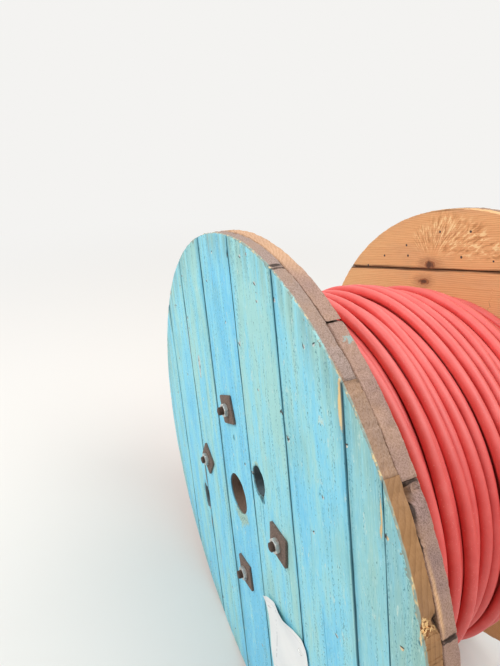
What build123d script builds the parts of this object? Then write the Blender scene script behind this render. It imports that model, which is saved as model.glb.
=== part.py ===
from build123d import *
import math
import os

os.makedirs("parts", exist_ok=True)

# Wooden cable drum, in millimetres. The drum stands on the rims of its two flanges,
# as it is rolled and stored. +Y runs along the drum's axis, from the painted near
# flange to the far one, and +Z is up. The origin is on the floor, under the middle.

# Flanges: two layers of boards each, nailed crosswise and cut round
flange_diameter = 1000.0
layer_thickness = 21.5
board_pitch = 148.5
board_gap = 1.5
grain_lean = 22.5
flange_gap = 490.0

# How far each layer's middle board lies off the drum's axis, across its grain
near_outer_shift = 6.0
near_inner_shift = 8.5
far_inner_shift = -1.0
far_outer_shift = 0.0
narrowest_edge_board = 40.0

# Barrel of staves, their ends let into a ring groove in each flange
barrel_diameter = 500.0
stave_thickness = 25.0
stave_count = 24
stave_gap = 1.5
groove_depth = 8.0
groove_clearance = 0.3

# Holes through the flanges
bore_diameter = 80.0
drive_hole_diameter = 50.0
drive_hole_across = 112.0
drive_hole_along = 80.0

# Tie rods, with a square plate and a nut at each end
rod_diameter = 16.0
rod_circle_diameter = 350.0
rod_hole_clearance = 1.0
rod_stick_out = 7.0
rod_shifts = (1.5, -1.5, 1.0, -1.0)
plate_side = 54.0
plate_thickness = 5.0
plate_corner_chamfer = 1.5
near_plate_turns = (37.0, -18.0, 25.0, 14.0)
far_plate_turns = (8.0, 30.0, -12.0, 41.0)
nut_across_flats = 24.0
nut_height = 8.0
nut_chamfer = 1.0
thread_clearance = 0.1

# Cable wound on the barrel in close layers. The last one lies loose, every second turn
# riding higher than its neighbours. The winding is fullest a little on the near side of
# the middle, and falls away to both flanges.
cable_diameter = 19.5
cable_layers = 6
high_turns = 15
turn_crest_share = 0.5
fullest_place = -40.0
far_end_fall = 52.0
winding_clearance = 0.3

# Paper sheet stapled beside the grain of one board
sheet_width = 148.0
sheet_length = 210.0
sheet_thickness = 0.5
sheet_corner_across = 89.0
sheet_top_along = -148.0

# What follows from them
flange_radius = flange_diameter / 2
flange_thickness = 2 * layer_thickness
drum_width = flange_gap + 2 * flange_thickness
axle = Vector(0, 0, flange_radius)
barrel_radius = barrel_diameter / 2
stave_seat = barrel_radius - stave_thickness
half_gap = flange_gap / 2
half_width = drum_width / 2
rod_circle_radius = rod_circle_diameter / 2
rod_hole_radius = rod_diameter / 2 + rod_hole_clearance
rod_angles = [grain_lean + 90.0 * quarter for quarter in range(1, 5)]


def layer_plane(y, across_angle):
    """Plane facing -Y at y, its x running across the boards and its y along them."""
    angle = math.radians(across_angle)
    across = (math.cos(angle), 0, math.sin(angle))
    return Plane(origin=(0, y, axle.Z), x_dir=across, z_dir=(0, -1, 0))


def joints_outward(shift, side):
    """Joints on one side of a layer's middle board, as long as the rim leaves room."""
    joints = []
    joint = shift + side * board_pitch / 2
    while flange_radius - side * joint >= narrowest_edge_board:
        joints.append(joint)
        joint += side * board_pitch
    return joints


def board_spans(shift):
    """Edges of every board: the middle one, then those above and below it in turn."""
    upper = joints_outward(shift, 1) + [flange_radius]
    lower = joints_outward(shift, -1) + [-flange_radius]
    spans = [(lower[0], upper[0])]
    for step in range(max(len(upper), len(lower)) - 1):
        if step + 1 < len(upper):
            spans.append((upper[step], upper[step + 1]))
        if step + 1 < len(lower):
            spans.append((lower[step + 1], lower[step]))
    return spans


def with_gaps(span):
    """The span less half a gap at each joint, and as it is at the rim."""
    low, high = span
    low_edge = low if low == -flange_radius else low + board_gap / 2
    high_edge = high if high == flange_radius else high - board_gap / 2
    return (low_edge, high_edge)


def polar(radius, angle):
    """A place in the drum's round face: x to the right, z above the axis."""
    turn = math.radians(angle)
    return (radius * math.cos(turn), radius * math.sin(turn))


def from_grain(across, along):
    """A place given across and along the near outer boards, as x and z."""
    turn = math.radians(grain_lean)
    x = across * math.cos(turn) - along * math.sin(turn)
    z = across * math.sin(turn) + along * math.cos(turn)
    return (x, z)


def on_plane(plane, place):
    """The sketch coordinates of a place in the round face."""
    local = plane.to_local_coords(Vector(place[0], plane.origin.Y, place[1] + axle.Z))
    return (local.X, local.Y)


bore = ((0.0, 0.0), bore_diameter / 2)
drive_hole = (from_grain(drive_hole_across, drive_hole_along), drive_hole_diameter / 2)
rod_holes = [(polar(rod_circle_radius, angle), rod_hole_radius) for angle in rod_angles]
near_holes = [bore, drive_hole] + rod_holes
far_holes = [bore] + rod_holes


def write_board(name, back_y, across_angle, span, holes, groove_back_y=None):
    """One board of a layer: a strip of the disc, with the holes that cross it."""
    plane = layer_plane(back_y, across_angle)
    low, high = with_gaps(span)
    with BuildPart() as board:
        with BuildSketch(plane) as outline:
            Circle(flange_radius)
            with Locations(((low + high) / 2, 0)):
                Rectangle(high - low, flange_diameter, mode=Mode.INTERSECT)
            for place, radius in holes:
                centre = on_plane(plane, place)
                if low - radius < centre[0] < high + radius:
                    with Locations(centre):
                        Circle(radius, mode=Mode.SUBTRACT)
        extrude(amount=layer_thickness)
        if groove_back_y is not None:
            with BuildSketch(layer_plane(groove_back_y, across_angle)) as groove:
                Circle(barrel_radius + groove_clearance)
                Circle(stave_seat - groove_clearance, mode=Mode.SUBTRACT)
            extrude(amount=groove_depth, mode=Mode.SUBTRACT)
    board.part.label = name
    export_step(board.part, f"parts/{name}.step")


def write_layer(name, spans, back_y, across_angle, holes, groove_back_y=None):
    """Every board of one layer, each in a file of its own."""
    for number, span in enumerate(spans, start=1):
        board_name = f"{name}_board_{number}"
        write_board(board_name, back_y, across_angle, span, holes, groove_back_y)


# Near flange: the painted outer layer leans off the vertical, the inner one crosses it.
# The outer layer's upper edge is made up with two narrow boards of like width.
outer_grain = grain_lean
inner_grain = grain_lean + 90.0
near_outer_y = -half_gap - layer_thickness
near_outer_spans = board_spans(near_outer_shift)
upper_edge = max(near_outer_spans)
edge_joint = (upper_edge[0] + upper_edge[1]) / 2
near_outer_spans[near_outer_spans.index(upper_edge)] = (upper_edge[0], edge_joint)
write_layer("near_outer", near_outer_spans, near_outer_y, outer_grain, near_holes)
edge_span = (edge_joint, upper_edge[1])
write_board("near_outer_edge_board", near_outer_y, outer_grain, edge_span, near_holes)
near_inner_spans = board_spans(near_inner_shift)
write_layer("near_inner", near_inner_spans, -half_gap, inner_grain, near_holes, -half_gap)

# Far flange: the same two layers in the opposite order
far_inner_y = half_gap + layer_thickness
far_groove_y = half_gap + groove_depth
far_inner_spans = board_spans(far_inner_shift)
write_layer("far_inner", far_inner_spans, far_inner_y, inner_grain, far_holes, far_groove_y)
write_layer("far_outer", board_spans(far_outer_shift), half_width, outer_grain, far_holes)

# Barrel: staves planed round outside and left flat inside, standing in both grooves
stave_length = flange_gap + 2 * groove_depth
stave_turn = 360.0 / stave_count
half_turn = math.radians(stave_turn / 2)
outer_half_width = barrel_radius * math.sin(half_turn) - stave_gap / 2
inner_half_width = stave_seat * math.tan(half_turn) - stave_gap / 2
stave_shoulder = math.sqrt(barrel_radius**2 - outer_half_width**2)
with BuildPart() as barrel_staves:
    for number in range(stave_count):
        with BuildSketch(layer_plane(stave_length / 2, stave_turn * number)) as stave_section:
            with BuildLine() as stave_outline:
                Polyline(
                    (stave_shoulder, -outer_half_width),
                    (stave_seat, -inner_half_width),
                    (stave_seat, inner_half_width),
                    (stave_shoulder, outer_half_width),
                )
                ThreePointArc(
                    (stave_shoulder, outer_half_width),
                    (barrel_radius, 0),
                    (stave_shoulder, -outer_half_width),
                )
            make_face()
        extrude(amount=stave_length)
barrel_staves.part.label = "barrel_staves"
export_step(barrel_staves.part, "parts/barrel_staves.step")

# Tie rods: four threaded rods inside the barrel, clamping the flanges on the staves
rod_length = drum_width + 2 * (plate_thickness + nut_height + rod_stick_out)


def write_rod(number, angle, shift):
    """One rod, which stands out a little more at one end than at the other."""
    plane = layer_plane(rod_length / 2 - shift, 0.0)
    with BuildPart() as tie_rod:
        with BuildSketch(plane) as section:
            with Locations(polar(rod_circle_radius, angle)):
                Circle(rod_diameter / 2)
        extrude(amount=rod_length)
    tie_rod.part.label = f"tie_rod_{number}"
    export_step(tie_rod.part, f"parts/{tie_rod.part.label}.step")


def write_plate(name, back_y, angle, turn):
    """One square plate with a hole, lying flat on the boards under its nut."""
    with BuildPart() as plate:
        with BuildSketch(layer_plane(back_y, 0.0)) as outline:
            with Locations(Location(polar(rod_circle_radius, angle), turn)):
                Rectangle(plate_side, plate_side)
            chamfer(outline.vertices(), plate_corner_chamfer)
            with Locations(polar(rod_circle_radius, angle)):
                Circle(rod_hole_radius, mode=Mode.SUBTRACT)
        extrude(amount=plate_thickness)
    plate.part.label = name
    export_step(plate.part, f"parts/{name}.step")


def write_nut(name, back_y, angle, turn, outer_y):
    """One hexagon nut, with its outer corners turned off to a cone."""
    with BuildPart() as nut:
        with BuildSketch(layer_plane(back_y, 0.0)) as outline:
            with Locations(Location(polar(rod_circle_radius, angle), turn)):
                RegularPolygon(nut_across_flats / 2, 6, major_radius=False)
            with Locations(polar(rod_circle_radius, angle)):
                Circle(rod_diameter / 2 + thread_clearance, mode=Mode.SUBTRACT)
        extrude(amount=nut_height)
        rim = nut.faces().filter_by(Axis.Y).sort_by(Axis((0, 0, 0), (0, outer_y, 0)))[-1]
        chamfer(rim.outer_wire().edges(), nut_chamfer)
    nut.part.label = name
    export_step(nut.part, f"parts/{name}.step")


near_plate_y = -half_width
near_nut_y = -half_width - plate_thickness
far_plate_y = half_width + plate_thickness
far_nut_y = far_plate_y + nut_height
for place, angle in enumerate(rod_angles):
    number = place + 1
    write_rod(number, angle, rod_shifts[place])
    write_plate(f"near_plate_{number}", near_plate_y, angle, near_plate_turns[place])
    write_nut(f"near_nut_{number}", near_nut_y, angle, far_plate_turns[place], -1)
    write_plate(f"far_plate_{number}", far_plate_y, angle, far_plate_turns[place])
    write_nut(f"far_nut_{number}", far_nut_y, angle, near_plate_turns[place], 1)

# Cable winding: one turned solid with its bore. The low turns show as strips between the
# high ones, which rest on them: the centres of two turns that touch lie a diameter apart.
winding_half = half_gap - winding_clearance
winding_bore = barrel_radius + winding_clearance
layer_rise = cable_diameter * math.sqrt(3) / 2
full_radius = winding_bore + cable_diameter + layer_rise * (cable_layers - 1)
turn_foot = cable_diameter / 2
turn_top = turn_foot * turn_crest_share
high_pitch = 2 * (winding_half - turn_foot) / (high_turns - 1)
turn_climb = math.sqrt(cable_diameter**2 - (high_pitch / 2) ** 2)


def low_turns(y):
    """Radius of the low turns at y: it falls with the square of the way from the fullest place."""
    away = (y - fullest_place) / (winding_half - fullest_place)
    return full_radius - far_end_fall * away**2


corners = [(-winding_half, winding_bore)]
for turn in range(high_turns):
    middle = -winding_half + turn_foot + high_pitch * turn
    crest = low_turns(middle) + turn_climb
    corners.append((middle - turn_foot, low_turns(middle - turn_foot)))
    corners.append((middle - turn_top, crest))
    corners.append((middle + turn_top, crest))
    corners.append((middle + turn_foot, low_turns(middle + turn_foot)))
corners.append((winding_half, winding_bore))

with BuildPart() as cable_winding:
    with BuildSketch(Plane(origin=axle, x_dir=(0, 1, 0), z_dir=(1, 0, 0))) as winding_section:
        with BuildLine() as winding_outline:
            Polyline(*corners, close=True)
        make_face()
    revolve(axis=Axis(axle, (0, 1, 0)))
cable_winding.part.label = "cable_winding"
export_step(cable_winding.part, "parts/cable_winding.step")

# Paper sheet: a plain oblong with its long side beside a joint of the outer boards
with BuildPart() as paper_sheet:
    with BuildSketch(layer_plane(-half_width, outer_grain)) as sheet_outline:
        with Locations((sheet_corner_across, sheet_top_along)):
            Rectangle(sheet_width, sheet_length, align=(Align.MIN, Align.MAX))
    extrude(amount=sheet_thickness)
paper_sheet.part.label = "paper_sheet"
export_step(paper_sheet.part, "parts/paper_sheet.step")
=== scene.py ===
import math
from functools import partial

import bmesh
import bpy
import numpy as np
from mathutils import Matrix, Vector


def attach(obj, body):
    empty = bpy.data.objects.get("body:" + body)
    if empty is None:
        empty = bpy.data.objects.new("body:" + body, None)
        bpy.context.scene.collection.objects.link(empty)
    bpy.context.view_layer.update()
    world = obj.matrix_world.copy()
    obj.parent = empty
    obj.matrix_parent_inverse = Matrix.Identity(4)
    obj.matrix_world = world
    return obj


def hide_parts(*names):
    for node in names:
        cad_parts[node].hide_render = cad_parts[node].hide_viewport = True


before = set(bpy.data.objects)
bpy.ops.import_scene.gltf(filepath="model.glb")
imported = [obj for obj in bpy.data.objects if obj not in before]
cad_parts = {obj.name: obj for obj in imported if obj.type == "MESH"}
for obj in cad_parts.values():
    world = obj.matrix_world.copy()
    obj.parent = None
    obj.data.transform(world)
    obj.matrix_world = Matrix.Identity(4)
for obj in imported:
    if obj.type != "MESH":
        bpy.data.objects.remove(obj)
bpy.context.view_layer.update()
mm = 0.001


def hexColour(code):
    # sRGB hex to linear: c / 12.92 below 0.04045, else ((c + 0.055) / 1.055) ^ 2.4
    parts = [int(code[i:i + 2], 16) / 255 for i in (1, 3, 5)]
    return tuple(c / 12.92 if c < 0.04045 else ((c + 0.055) / 1.055) ** 2.4 for c in parts) + (1.0,)


operations = {
    "+": "ADD", "-": "SUBTRACT", "*": "MULTIPLY", "/": "DIVIDE", "max": "MAXIMUM", "power": "POWER",
    "root": "SQRT", "fraction": "FRACT", "angle": "ARCTAN2", "size": "ABSOLUTE", "above": "GREATER_THAN",
    "times and plus": "MULTIPLY_ADD",
}
# what a short name stands for: the node, the sockets that take its values in order, the output that it
# gives (None for all of them), and its settings
nodeKinds = {
    **{short: ("Math", (0, 1, 2), 0, {"operation": operation}) for short, operation in operations.items()},
    "attribute": ("Attribute", (), "Vector", {}),
    "coordinates": ("TexCoord", (), "Object", {}),
    "geometry": ("NewGeometry", (), "Normal", {}),
    "rays": ("LightPath", (), None, {}),
    "join": ("CombineXYZ", (0, 1, 2), 0, {}),
    "split": ("SeparateXYZ", (0,), None, {}),
    "stretch": ("VectorMath", (0, 1), 0, {"operation": "MULTIPLY"}),
    "move": ("VectorMath", (0, 1), 0, {"operation": "ADD"}),
    "length": ("VectorMath", (0,), "Value", {"operation": "LENGTH"}),
    "noise": ("TexNoise", ("Vector", "Scale", "Detail", "Roughness", "Distortion"), 0, {}),
    "range": ("MapRange", ("Value", "From Min", "From Max", "To Min", "To Max"), 0, {}),
    "step": ("MapRange", ("Value", "From Min", "From Max"), 0, {"interpolation_type": "SMOOTHSTEP"}),
    "blend": ("Mix", (0, 6, 7), 2, {"data_type": "RGBA", "blend_type": "MIX"}),
    "ramp": ("ValToRGB", (0,), 0, {}),
    "bump": ("Bump", ("Height", "Strength", "Distance", "Normal"), 0, {}),
    "principled": ("BsdfPrincipled", (), 0, {}),
    "diffuse": ("BsdfDiffuse", ("Color",), 0, {}),
    "emission": ("Emission", ("Color", "Strength"), 0, {}),
    "background": ("Background", ("Color", "Strength"), 0, {}),
    "both": ("AddShader", (0, 1), 0, {}),
    "either": ("MixShader", (0, 1, 2), 0, {}),
    "surface": ("OutputMaterial", ("Surface",), None, {}),
    "world": ("OutputWorld", ("Surface",), None, {}),
}


def addNode(tree, kind, *values, named=None, stops=(), **settings):
    # one node: a socket among its values is linked, a hex colour or any other value is set
    nodeType, sockets, output, usual = nodeKinds[kind]
    node = tree.nodes.new("ShaderNode" + nodeType)
    for key, value in {**usual, **settings}.items():
        setattr(node, key, value)
    for socket, value in [*zip(sockets, values), *(named or {}).items()]:
        if isinstance(value, bpy.types.NodeSocket):
            tree.links.new(value, node.inputs[socket])
        else:
            node.inputs[socket].default_value = hexColour(value) if isinstance(value, str) else value
    if stops:
        points = node.color_ramp.elements
        while len(points) < len(stops):
            points.new(0.5)
        for point, (place, colour) in zip(points, stops):
            point.position, point.color = place, hexColour(colour)
    return node.outputs if output is None else node.outputs[output]


def newMaterial(name):
    # the material, and what adds a node to it
    material = bpy.data.materials.new(name)
    material.use_nodes = True
    material.node_tree.nodes.clear()
    return material, partial(addNode, material.node_tree)


def finishMaterial(node, inputs, bumps, bumpDistance):
    # a principled surface; each (height, strength) is one bump laid over the one before
    normal = ()
    for height, strength in bumps:
        normal = (node("bump", height, strength, bumpDistance, *normal),)
    node("surface", node("principled", named={**inputs, "Normal": normal[0]}))


print("camera")
cameraSet = {
    "location": (0.53425, -0.5569, 1.2532),
    "right": (0.4102, 0.9098, 0.0635),
    "up": (-0.5134, 0.1728, 0.8406),
    "back": (0.7538, -0.3774, 0.5379),
    "lens": 25.246,
    "sensor": 36.0,
    "clip": (0.02, 50),
}


def addCamera(s):
    # the camera's right, up and back directions are the columns of its turn, squared up
    data = bpy.data.cameras.new("camera")
    camera = bpy.data.objects.new("camera", data)
    bpy.context.scene.collection.objects.link(camera)
    data.lens, data.sensor_width = s["lens"], s["sensor"]
    data.clip_start, data.clip_end = s["clip"]
    turn = np.eye(4)
    u, _, v = np.linalg.svd(np.stack([s["right"], s["up"], s["back"]], 1))
    turn[:3, :3], turn[:3, 3] = u @ v, s["location"]
    camera.matrix_world = Matrix(turn.tolist())
    bpy.context.scene.camera = camera


addCamera(cameraSet)

print("floor and light")
studio = {
    "floor": "#DAD7D2",
    "glow": 0.1,
    "backdrop": "#F4F3F1",
    "floorReach": 14.0,
    "fade": (1.0, 3.0),
    "sky": 0.45,
    "aim": (0, 0, 0.5),
    "lamps": [
        {"at": (-1.6, -2.8, 3.4), "size": 2.4, "power": 104},
        {"at": (1.6, 0.9, 4.2), "size": 2.6, "power": 96},
        {"at": (-1.0, 3.2, 2.6), "size": 2.8, "power": 40},
    ],
}


def shownApart(node, lit, shown):
    # the first where light falls on things, the second where the camera and reflections look
    rays = node("rays")
    return node("either", node("max", rays["Is Camera Ray"], rays["Is Glossy Ray"]), lit, shown)


def floorFinish(s):
    # matt studio floor, which passes into the backdrop's own colour further out
    material, node = newMaterial("pale matt studio floor")
    matt = node("diffuse", s["floor"])
    glowing = node("both", matt, node("emission", "#FFFFFF", s["glow"]))
    away = node("length", node("coordinates"))
    plain = node("emission", s["backdrop"], 1.0)
    shown = node("either", node("step", away, *s["fade"]), glowing, plain)
    node("surface", shownApart(node, matt, shown))
    return material


def addStudio(s):
    mesh = bpy.data.meshes.new("floor")
    corners = [(-1, -1, 0), (1, -1, 0), (1, 1, 0), (-1, 1, 0)]
    mesh.from_pydata(np.array(corners) * s["floorReach"], [], [(0, 1, 2, 3)])
    mesh.materials.append(floorFinish(s))
    floor = bpy.data.objects.new("floor", mesh)
    bpy.context.scene.collection.objects.link(floor)
    world = bpy.data.worlds.new("studio")
    bpy.context.scene.world = world
    world.use_nodes = True
    world.node_tree.nodes.clear()
    node = partial(addNode, world.node_tree)
    backdrop = node("background", s["backdrop"], 1.0)
    node("world", shownApart(node, node("background", "#FFFFFF", s["sky"]), backdrop))
    for index, lamp in enumerate(s["lamps"]):
        data = bpy.data.lights.new(f"lamp{index}", "AREA")
        data.shape, data.size, data.energy = "DISK", lamp["size"], lamp["power"]
        light = bpy.data.objects.new(f"lamp{index}", data)
        bpy.context.scene.collection.objects.link(light)
        light.location = lamp["at"]
        light.rotation_mode = "QUATERNION"
        aim = np.array(s["aim"]) - np.array(lamp["at"])
        light.rotation_quaternion = Vector(aim.tolist()).to_track_quat("-Z", "Y")


addStudio(studio)
bpy.context.scene.view_settings.view_transform = "Standard"


def newShape(name, points, faces):
    # an object from points and faces, its faces turned outwards
    mesh = bpy.data.meshes.new(name)
    mesh.from_pydata(np.asarray(points, float).reshape(-1, 3), [], faces)
    made = bmesh.new()
    made.from_mesh(mesh)
    bmesh.ops.recalc_face_normals(made, faces=made.faces[:])
    made.to_mesh(mesh)
    made.free()
    shape = bpy.data.objects.new(name, mesh)
    bpy.context.scene.collection.objects.link(shape)
    return shape


def addPiece(name, points, faces, material, nodes, sharp):
    # smooth but for edges past the sharp angle, in degrees; nodes are the solids that it stands for
    piece = newShape(name, points, faces)
    piece.data.materials.append(material)
    piece.data.shade_smooth()
    piece.data.set_sharp_from_angle(angle=math.radians(sharp))
    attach(piece, "root")
    if nodes:
        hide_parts(*nodes)
    return piece


def addTube(name, rings, material, nodes, sharp):
    # a closed tube from rings of points
    return addPiece(name, rings, tubeFaces(*rings.shape[:2]), material, nodes, sharp)


def keepVectors(piece, name, values):
    # a vector at each point, which the finish reads by this name
    data = np.stack(np.broadcast_arrays(*values), -1).astype(np.float32)
    piece.data.attributes.new(name, "FLOAT_VECTOR", "POINT").data.foreach_set("vector", data.ravel())


def gridFaces(rows, columns, closedRows=False, closedColumns=False, start=0):
    # quads of a rows x columns grid of points, joined round where a direction is closed
    i = np.arange(rows if closedRows else rows - 1)[:, None]
    j = np.arange(columns if closedColumns else columns - 1)[None, :]
    a, b = i * columns + j, i * columns + (j + 1) % columns
    c, d = ((i + 1) % rows) * columns + (j + 1) % columns, ((i + 1) % rows) * columns + j
    return (np.stack([a, b, c, d], -1).reshape(-1, 4) + start).tolist()


def tubeFaces(rows, sides, start=0):
    # the wall of a tube of rings, and a cap at each end
    last = start + (rows - 1) * sides
    wall = gridFaces(rows, sides, closedColumns=True, start=start)
    return wall + [list(range(start, start + sides)), list(range(last, last + sides))]


def borderOf(rows, columns):
    # numbers of the points round the edge of a grid
    order = np.arange(rows * columns).reshape(rows, columns)
    return np.concatenate([order[:, 0], order[-1, 1:], order[-2::-1, -1], order[0, -2:0:-1]])


def bandFaces(rings):
    # quads between each ring of point numbers and the next
    after = np.roll(rings, -1, 1)
    return np.stack([rings[:-1], after[:-1], after[1:], rings[1:]], -1).reshape(-1, 4).tolist()


def ripple(points, size, seed, count=9):
    # sum of sine waves in random directions, each about one size long; swings between about -1 and 1
    points = np.asarray(points, float)
    draw = np.random.default_rng(seed)
    ways = draw.normal(size=(count, points.shape[-1]))
    ways *= (2 * math.pi / size) * draw.uniform(0.7, 1.4, (count, 1)) / np.linalg.norm(ways, axis=1)[:, None]
    phases = draw.uniform(0, 2 * math.pi, count)
    return np.sin(points @ ways.T + phases).sum(-1) / math.sqrt(count)


def stacked(*parts):
    # arrays of coordinates brought to one shape and joined into points
    return np.stack(np.broadcast_arrays(*parts), -1)


def roundPoints(x, z, r, y, turn):
    # points at a distance and an angle from an axis along y
    return stacked(x + r * np.cos(turn), y, z + r * np.sin(turn))


def circle(sides):
    # angles once round, as one row
    return np.linspace(0, 2 * math.pi, sides, endpoint=False)[None, :]


print("boards")
flange = {
    "radius": 500 * mm,
    "centre": 500 * mm,
    "lean": math.radians(22.5),
    "jointGap": 1.5 * mm,
    "thickness": 21.5 * mm,
    "sideRound": 1.4 * mm,
    "rimRound": 2.2 * mm,
    "backRound": 1.2 * mm,
    "backInset": 0.2 * mm,
    "roughness": 0.5 * mm,
    "rimBand": 9 * mm,
    "rimClear": 0.06 * mm,
    "wallRows": [0.12, 0.3, 0.5, 0.68, 0.8, 0.88, 0.95],
    "cup": 0.35 * mm,
    "crackHalf": 0.6 * mm,
    "crackSway": 1.2 * mm,
    "sharp": 35,
}
# holes through the boards in millimetres; ragged is how far their walls wander, tall how far the hole
# is drawn out along the outer boards, and the last value is 1 where the wall is not darkened by its depth
# but takes the hole walls' own darkening, partly stain and partly painted shade
rods = {
    "circle": 175, "turns": [112.5, 202.5, 292.5, 22.5],
    "cut": {"r": 8.5, "ragged": 0, "tall": 0, "sides": 24, "seed": 2, "skipsDepthDark": 1},
}
spindle = {"x": 0, "z": 500, "r": 40, "ragged": 0.35, "tall": 0, "sides": 72, "seed": 12, "skipsDepthDark": 1}
drive = {"x": 72.86, "z": 616.77, "r": 24.4, "ragged": 1.0, "tall": 4.5, "sides": 72, "seed": 13, "skipsDepthDark": 0}


def layerWays(crosswise):
    # directions across and along the boards, in the x z plane
    c, s = math.cos(flange["lean"]), math.sin(flange["lean"])
    across, along = np.array([c, s]), np.array([-s, c])
    return (along, across) if crosswise else (across, along)


def toWorld(layer, a, b, depth):
    # a across, b along, depth below the face that shows
    across, along = layerWays(layer["crosswise"])
    x = a * across[0] + b * along[0]
    z = a * across[1] + b * along[1] + flange["centre"]
    return stacked(x, layer["face"] - layer["out"] * depth + 0 * a, z)


def toBoard(layer, points):
    # the way back from toWorld
    across, along = layerWays(layer["crosswise"])
    x, z = points[:, 0], points[:, 2] - flange["centre"]
    depth = (layer["face"] - points[:, 1]) * layer["out"]
    return x * across[0] + z * across[1], x * along[0] + z * along[1], depth


def archLift(distance, radius):
    # how far a quarter-round edge lies below the face at a distance in from the edge
    inside = np.clip(radius - distance, 0, radius)
    return radius - np.sqrt(radius ** 2 - inside ** 2)


def roundLines(radius):
    # lines in from an edge that cut its quarter round into three equal turns
    return radius * (1 - np.cos(np.radians([0, 30, 60, 90])))


def crackLine(b, at, seed):
    # where a crack runs across the board, by the place along it
    return at * mm + flange["crackSway"] * ripple(b[..., None], 0.22, seed)


def rowsAcross(step, low, high, cracks):
    # lines across a board at even steps of the disc's angle, with more at its edges and its cracks
    turns = np.arcsin(np.array([low, high]) / flange["radius"])
    count = max(6, int(abs(turns[1] - turns[0]) * flange["radius"] / step))
    rows = flange["radius"] * np.sin(np.linspace(turns[0], turns[1], count + 1))
    edge = roundLines(flange["sideRound"])
    clear = 1.6 * edge[-1]
    rows = [r for r in rows if r - low > clear and high - r > clear]
    rows = [r for r in rows if all(abs(r - c) > 2.2 * mm for c in cracks)]
    beside = [c + side * 1.1 * mm for c in cracks for side in (-1, 1)]
    return np.array(sorted([*rows, *(low + edge), *(high - edge), *cracks, *beside]))


def boardPoints(layer, low, high, marks):
    # a strip of the disc between two joints: rows across the board, columns from rim to rim, so a row
    # is twice the root of radius squared less across squared long, less the wear of its ends
    radius = flange["radius"]
    low, high = max(low, -radius + 0.3 * mm), min(high, radius - 0.3 * mm)
    a = rowsAcross(layer["step"], low, high, [crack[0] * mm for crack in marks["cracks"]])[:, None]
    rim = roundLines(flange["rimRound"])
    nearestAcross = 0 if low * high < 0 else min(abs(low), abs(high))
    half = math.sqrt(radius ** 2 - nearestAcross ** 2)
    inner = np.linspace(-1, 1, max(8, int(2 * half / layer["along"])) + 1)[None, :]
    ends = []
    for side in (-1, 1):
        worn = rimWear(a, side * np.sqrt(radius ** 2 - a ** 2), 0 * a, marks)
        ends.append(side * np.sqrt(np.maximum((radius - worn) ** 2 - a ** 2, (3 * mm) ** 2)))
    bottom, top = ends
    middle = (bottom + rim[-1]) + (top - bottom - 2 * rim[-1]) * (inner[:, 1:-1] + 1) / 2
    b = np.concatenate([bottom + rim[None, :], middle, top - rim[None, ::-1]], 1)
    a = np.broadcast_to(a, b.shape).copy()
    fromEnd = np.minimum(b - bottom, top - b)
    for at, *_, seed in marks["cracks"]:
        # the rows near a crack sway with it
        near = np.exp(-((a - at * mm) / (16 * mm)) ** 2) * (fromEnd / (24 * mm)).clip(0, 1)
        a += near * (crackLine(b, at, seed) - at * mm)
    fromSide = np.minimum(a - low, high - a).clip(0)
    depth = np.maximum(archLift(fromEnd, flange["rimRound"]), archLift(fromSide, flange["sideRound"]))
    return a, b, depth + faceRelief(a, b, low, high, marks) * (fromEnd > 0)


def rimWear(a, b, depth, marks):
    # how far the rim has worn back at a place, deeper in each chip: a bell over the angle and the depth
    angle = np.degrees(np.arctan2(b, a))
    here = stacked(a, b, depth * 3)
    coarse, fine = ripple(here, 22 * mm, marks["seed"] + 5), ripple(here, 7 * mm, marks["seed"] + 6)
    worn = flange["roughness"] * (1.1 + coarse + 0.6 * fine) + marks["rimSet"] * mm
    for turn, wide, deep, below, reach in marks["chips"]:
        off = (angle - turn + 180) % 360 - 180
        run = off * math.pi / 180 * flange["radius"] / (wide * mm)
        fall = (depth - below * mm) / (reach * mm)
        torn = 1 + 0.35 * ripple(here, 6 * mm, marks["seed"] + 9)
        worn = worn + deep * mm * np.exp(-run ** 4 - fall ** 2) * torn
    return worn.clip(0.05 * mm)


def faceRelief(a, b, low, high, marks):
    # the face of a sawn board: a slight cup across, long swells, then cracks and hollows
    across = (a - low) / (high - low) * 2 - 1
    here = np.stack([a * 4, b], -1)
    depth = flange["cup"] * (across ** 2 - 0.4) + 0.18 * mm * ripple(here, 0.21, marks["seed"])
    depth = depth + 0.1 * mm * ripple(here, 0.05, marks["seed"] + 1)
    for at, start, end, deep, seed in marks["cracks"]:
        run = ((b - start * mm) / (end * mm - start * mm)).clip(0, 1)
        inCrack = np.abs(a - crackLine(b, at, seed)) < flange["crackHalf"]
        depth = depth + deep * mm * (4 * run * (1 - run)) ** 0.35 * inCrack
    for x, y, wide, long, deep in marks["hollows"]:
        away = np.hypot((a - x * mm) / (wide * mm), (b - y * mm) / (long * mm))
        away = away * (1 + 0.16 * ripple(np.stack([a, b * 0.5], -1), 14 * mm, marks["seed"] + 3))
        depth = depth + deep * mm / (1 + np.exp((away - 1) * 9))
    return depth


def boardWall(face, low, high, marks):
    # the face's outline carried back in rows, each row of its rim worn in its own way
    a, b, start = face
    radius, turned = flange["radius"], flange["backRound"]
    reach = np.hypot(a, b)
    onRim = reach > radius - flange["rimBand"]
    back = flange["thickness"] - flange["backInset"]
    depth = start + (back - turned - start) * np.array(flange["wallRows"])[:, None]
    shift = np.where(onRim, rimWear(a, b, depth, marks) - rimWear(a, b, start, marks), 0)
    wall = np.minimum(1 - shift / reach, np.where(onRim, (radius - flange["rimClear"]) / reach, 1))
    wall = np.concatenate([wall, wall[-1:], wall[-1:] * (1 - turned / reach * onRim)])
    depth = np.concatenate([depth, np.full_like(depth[:1], back - turned), np.full_like(depth[:1], back)])
    inset = np.ones((len(wall), 1))
    inset[-1] = 1 - turned / (high - low) * 2
    middle = (low + high) / 2
    return middle + (wall * a - middle) * inset, wall * b, depth


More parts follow.
